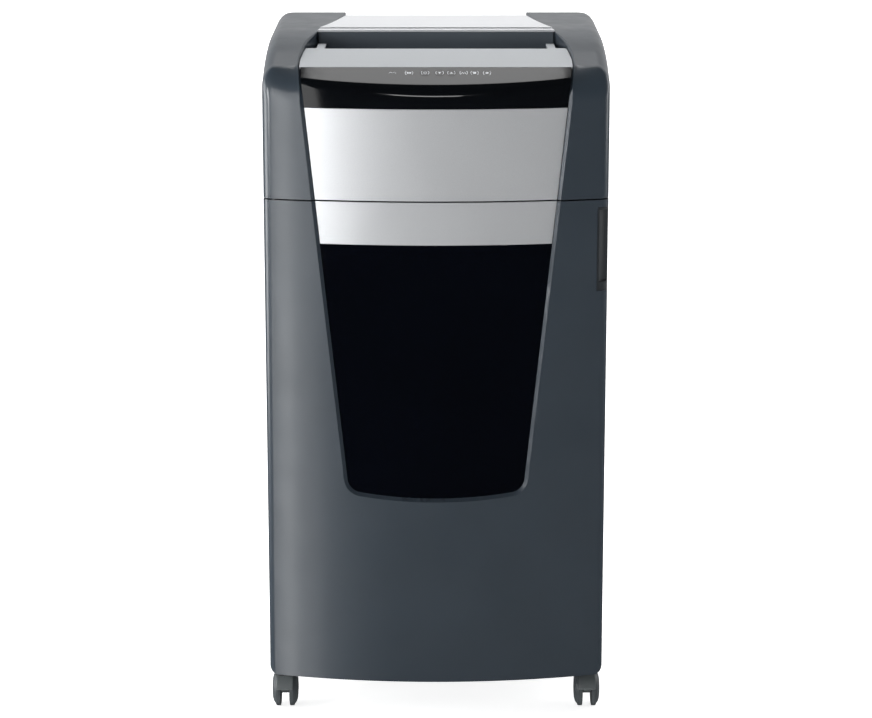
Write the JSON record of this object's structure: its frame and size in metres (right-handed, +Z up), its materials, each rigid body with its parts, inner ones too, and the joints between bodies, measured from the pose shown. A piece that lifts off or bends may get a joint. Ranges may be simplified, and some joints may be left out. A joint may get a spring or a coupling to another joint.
{
  "type": "paper shredder",
  "caption": "Floor-standing office paper shredder with a bowed front door, smoked window, pull-out bin, cutting head and swivel castors.",
  "frame": {"origin": "on the floor, under the middle of the cabinet's outline", "axes": "+Z up, the front faces -Y, +X to the viewer's right when facing the front"},
  "size_m": [0.48, 0.408, 0.985],
  "materials": {
    "charcoal_plastic": "fine-textured charcoal moulding",
    "black_plastic": "black moulded plastic",
    "silver_paint": "satin metallic silver",
    "pale_silver": "pale silver satin",
    "gloss_black": "polished piano black",
    "smoked_window": "dark smoked acrylic, polished",
    "grey_liner": "grey moulded liner",
    "bright_steel": "machined steel",
    "circuit_board": "green circuit board",
    "castor_wheel": "dark nylon wheel"
  },
  "bodies": {
    "chassis": {"right_side_panel": "charcoal_plastic", "left_side_panel": "charcoal_plastic", "rear_panel": "charcoal_plastic", "right_shoulder": "charcoal_plastic", "left_shoulder": "charcoal_plastic", "head_back_cover": "charcoal_plastic", "base_panel": "black_plastic", "top_frame": "black_plastic", "door_magnet": "black_plastic", "door_interlock_switch": "black_plastic", "throat_front_guide": "black_plastic", "throat_rear_wall": "black_plastic", "paper_sensor": "black_plastic", "power_inlet": "black_plastic", "front_stripper_comb": "black_plastic", "rear_stripper_comb": "black_plastic", "head_front_fascia": "silver_paint", "front_deck": "silver_paint", "throat_rear_trim": "pale_silver", "rear_cover": "pale_silver", "control_panel": "gloss_black", "lower_hinge_bracket": "bright_steel", "upper_hinge_pin": "bright_steel", "head_chassis_plate": "bright_steel", "cutter_side_plate_left": "bright_steel", "cutter_side_plate_right": "bright_steel", "front_tie_rod": "bright_steel", "rear_tie_rod": "bright_steel", "idler_stud": "bright_steel", "drive_motor": "bright_steel", "control_board": "circuit_board"},
    "door": {"door_panel": "charcoal_plastic", "door_inner_liner": "grey_liner", "door_window": "smoked_window", "door_silver_strip": "silver_paint", "door_grip": "black_plastic", "door_catch_plate": "bright_steel"},
    "bin": {"shred_bin": "black_plastic"},
    "front_cutter": {"front_cutter_shaft": "bright_steel", "front_cutter_gear": "bright_steel"},
    "rear_cutter": {"rear_cutter_shaft": "bright_steel", "rear_cutter_gear": "bright_steel"},
    "idler": {"idler_gear": "bright_steel"},
    "pinion": {"motor_pinion": "bright_steel"},
    "standby_button": {"standby_key": "gloss_black"},
    "reverse_button": {"reverse_key": "gloss_black"},
    "forward_button": {"forward_key": "gloss_black"},
    "rocker": {"mains_rocker": "black_plastic"},
    "castor_front_left": {"castor_front_left_housing": "charcoal_plastic"},
    "wheel_front_left_left": {"castor_front_left_wheel_left": "castor_wheel"},
    "wheel_front_left_right": {"castor_front_left_wheel_right": "castor_wheel"},
    "castor_front_right": {"castor_front_right_housing": "charcoal_plastic"},
    "wheel_front_right_left": {"castor_front_right_wheel_left": "castor_wheel"},
    "wheel_front_right_right": {"castor_front_right_wheel_right": "castor_wheel"},
    "castor_rear_left": {"castor_rear_left_housing": "charcoal_plastic"},
    "wheel_rear_left_left": {"castor_rear_left_wheel_left": "castor_wheel"},
    "wheel_rear_left_right": {"castor_rear_left_wheel_right": "castor_wheel"},
    "castor_rear_right": {"castor_rear_right_housing": "charcoal_plastic"},
    "wheel_rear_right_left": {"castor_rear_right_wheel_left": "castor_wheel"},
    "wheel_rear_right_right": {"castor_rear_right_wheel_right": "castor_wheel"}
  },
  "joints": [
    {"name": "door_hinge", "type": "hinge", "parent": "chassis", "child": "door", "pos_m": [-0.224, -0.16, 0.4], "axis": [0, 0, -1], "range_deg": [0, 115]},
    {"name": "bin_slide", "type": "slide", "parent": "chassis", "child": "bin", "axis": [0, -1, 0], "range_m": [0, 0.111]},
    {"name": "front_cutter_spin", "type": "hinge", "parent": "chassis", "child": "front_cutter", "pos_m": [0, -0.075, 0.86], "axis": [1, 0, 0], "continuous": true},
    {"name": "rear_cutter_spin", "type": "hinge", "parent": "chassis", "child": "rear_cutter", "pos_m": [0, -0.02, 0.86], "axis": [1, 0, 0], "continuous": true},
    {"name": "idler_spin", "type": "hinge", "parent": "chassis", "child": "idler", "pos_m": [-0.177, 0.035, 0.86], "axis": [1, 0, 0], "continuous": true},
    {"name": "pinion_spin", "type": "hinge", "parent": "chassis", "child": "pinion", "pos_m": [-0.177, 0.0775, 0.86], "axis": [1, 0, 0], "continuous": true},
    {"name": "standby_press", "type": "slide", "parent": "chassis", "child": "standby_button", "axis": [0, 0.5537, -0.8327], "range_m": [0, 0.0008], "stiffness_N_per_m": 800},
    {"name": "reverse_press", "type": "slide", "parent": "chassis", "child": "reverse_button", "axis": [0, 0.5537, -0.8327], "range_m": [0, 0.0008], "stiffness_N_per_m": 800},
    {"name": "forward_press", "type": "slide", "parent": "chassis", "child": "forward_button", "axis": [0, 0.5537, -0.8327], "range_m": [0, 0.0008], "stiffness_N_per_m": 800},
    {"name": "mains_rocker_tilt", "type": "hinge", "parent": "chassis", "child": "rocker", "pos_m": [-0.1, 0.1965, 0.812], "axis": [1, 0, 0], "range_deg": [0, 16]},
    {"name": "swivel_front_left", "type": "hinge", "parent": "chassis", "child": "castor_front_left", "pos_m": [-0.221, -0.128, 0.06], "axis": [0, 0, 1], "continuous": true},
    {"name": "roll_front_left_left", "type": "hinge", "parent": "castor_front_left", "child": "wheel_front_left_left", "pos_m": [-0.2335, -0.115, 0.027], "axis": [1, 0, 0], "continuous": true},
    {"name": "roll_front_left_right", "type": "hinge", "parent": "castor_front_left", "child": "wheel_front_left_right", "pos_m": [-0.2085, -0.115, 0.027], "axis": [1, 0, 0], "continuous": true},
    {"name": "swivel_front_right", "type": "hinge", "parent": "chassis", "child": "castor_front_right", "pos_m": [0.221, -0.128, 0.06], "axis": [0, 0, 1], "continuous": true},
    {"name": "roll_front_right_left", "type": "hinge", "parent": "castor_front_right", "child": "wheel_front_right_left", "pos_m": [0.2085, -0.115, 0.027], "axis": [1, 0, 0], "continuous": true},
    {"name": "roll_front_right_right", "type": "hinge", "parent": "castor_front_right", "child": "wheel_front_right_right", "pos_m": [0.2335, -0.115, 0.027], "axis": [1, 0, 0], "continuous": true},
    {"name": "swivel_rear_left", "type": "hinge", "parent": "chassis", "child": "castor_rear_left", "pos_m": [-0.221, 0.15, 0.06], "axis": [0, 0, 1], "continuous": true},
    {"name": "roll_rear_left_left", "type": "hinge", "parent": "castor_rear_left", "child": "wheel_rear_left_left", "pos_m": [-0.2335, 0.163, 0.027], "axis": [1, 0, 0], "continuous": true},
    {"name": "roll_rear_left_right", "type": "hinge", "parent": "castor_rear_left", "child": "wheel_rear_left_right", "pos_m": [-0.2085, 0.163, 0.027], "axis": [1, 0, 0], "continuous": true},
    {"name": "swivel_rear_right", "type": "hinge", "parent": "chassis", "child": "castor_rear_right", "pos_m": [0.221, 0.15, 0.06], "axis": [0, 0, 1], "continuous": true},
    {"name": "roll_rear_right_left", "type": "hinge", "parent": "castor_rear_right", "child": "wheel_rear_right_left", "pos_m": [0.2085, 0.163, 0.027], "axis": [1, 0, 0], "continuous": true},
    {"name": "roll_rear_right_right", "type": "hinge", "parent": "castor_rear_right", "child": "wheel_rear_right_right", "pos_m": [0.2335, 0.163, 0.027], "axis": [1, 0, 0], "continuous": true}
  ],
  "couplings": [
    {"joint": "bin_slide", "follows": "door_hinge", "m_per_rad": 0.055},
    {"joint": "rear_cutter_spin", "follows": "front_cutter_spin", "ratio": -1},
    {"joint": "idler_spin", "follows": "front_cutter_spin", "ratio": 1},
    {"joint": "pinion_spin", "follows": "front_cutter_spin", "ratio": -1.8333}
  ]
}
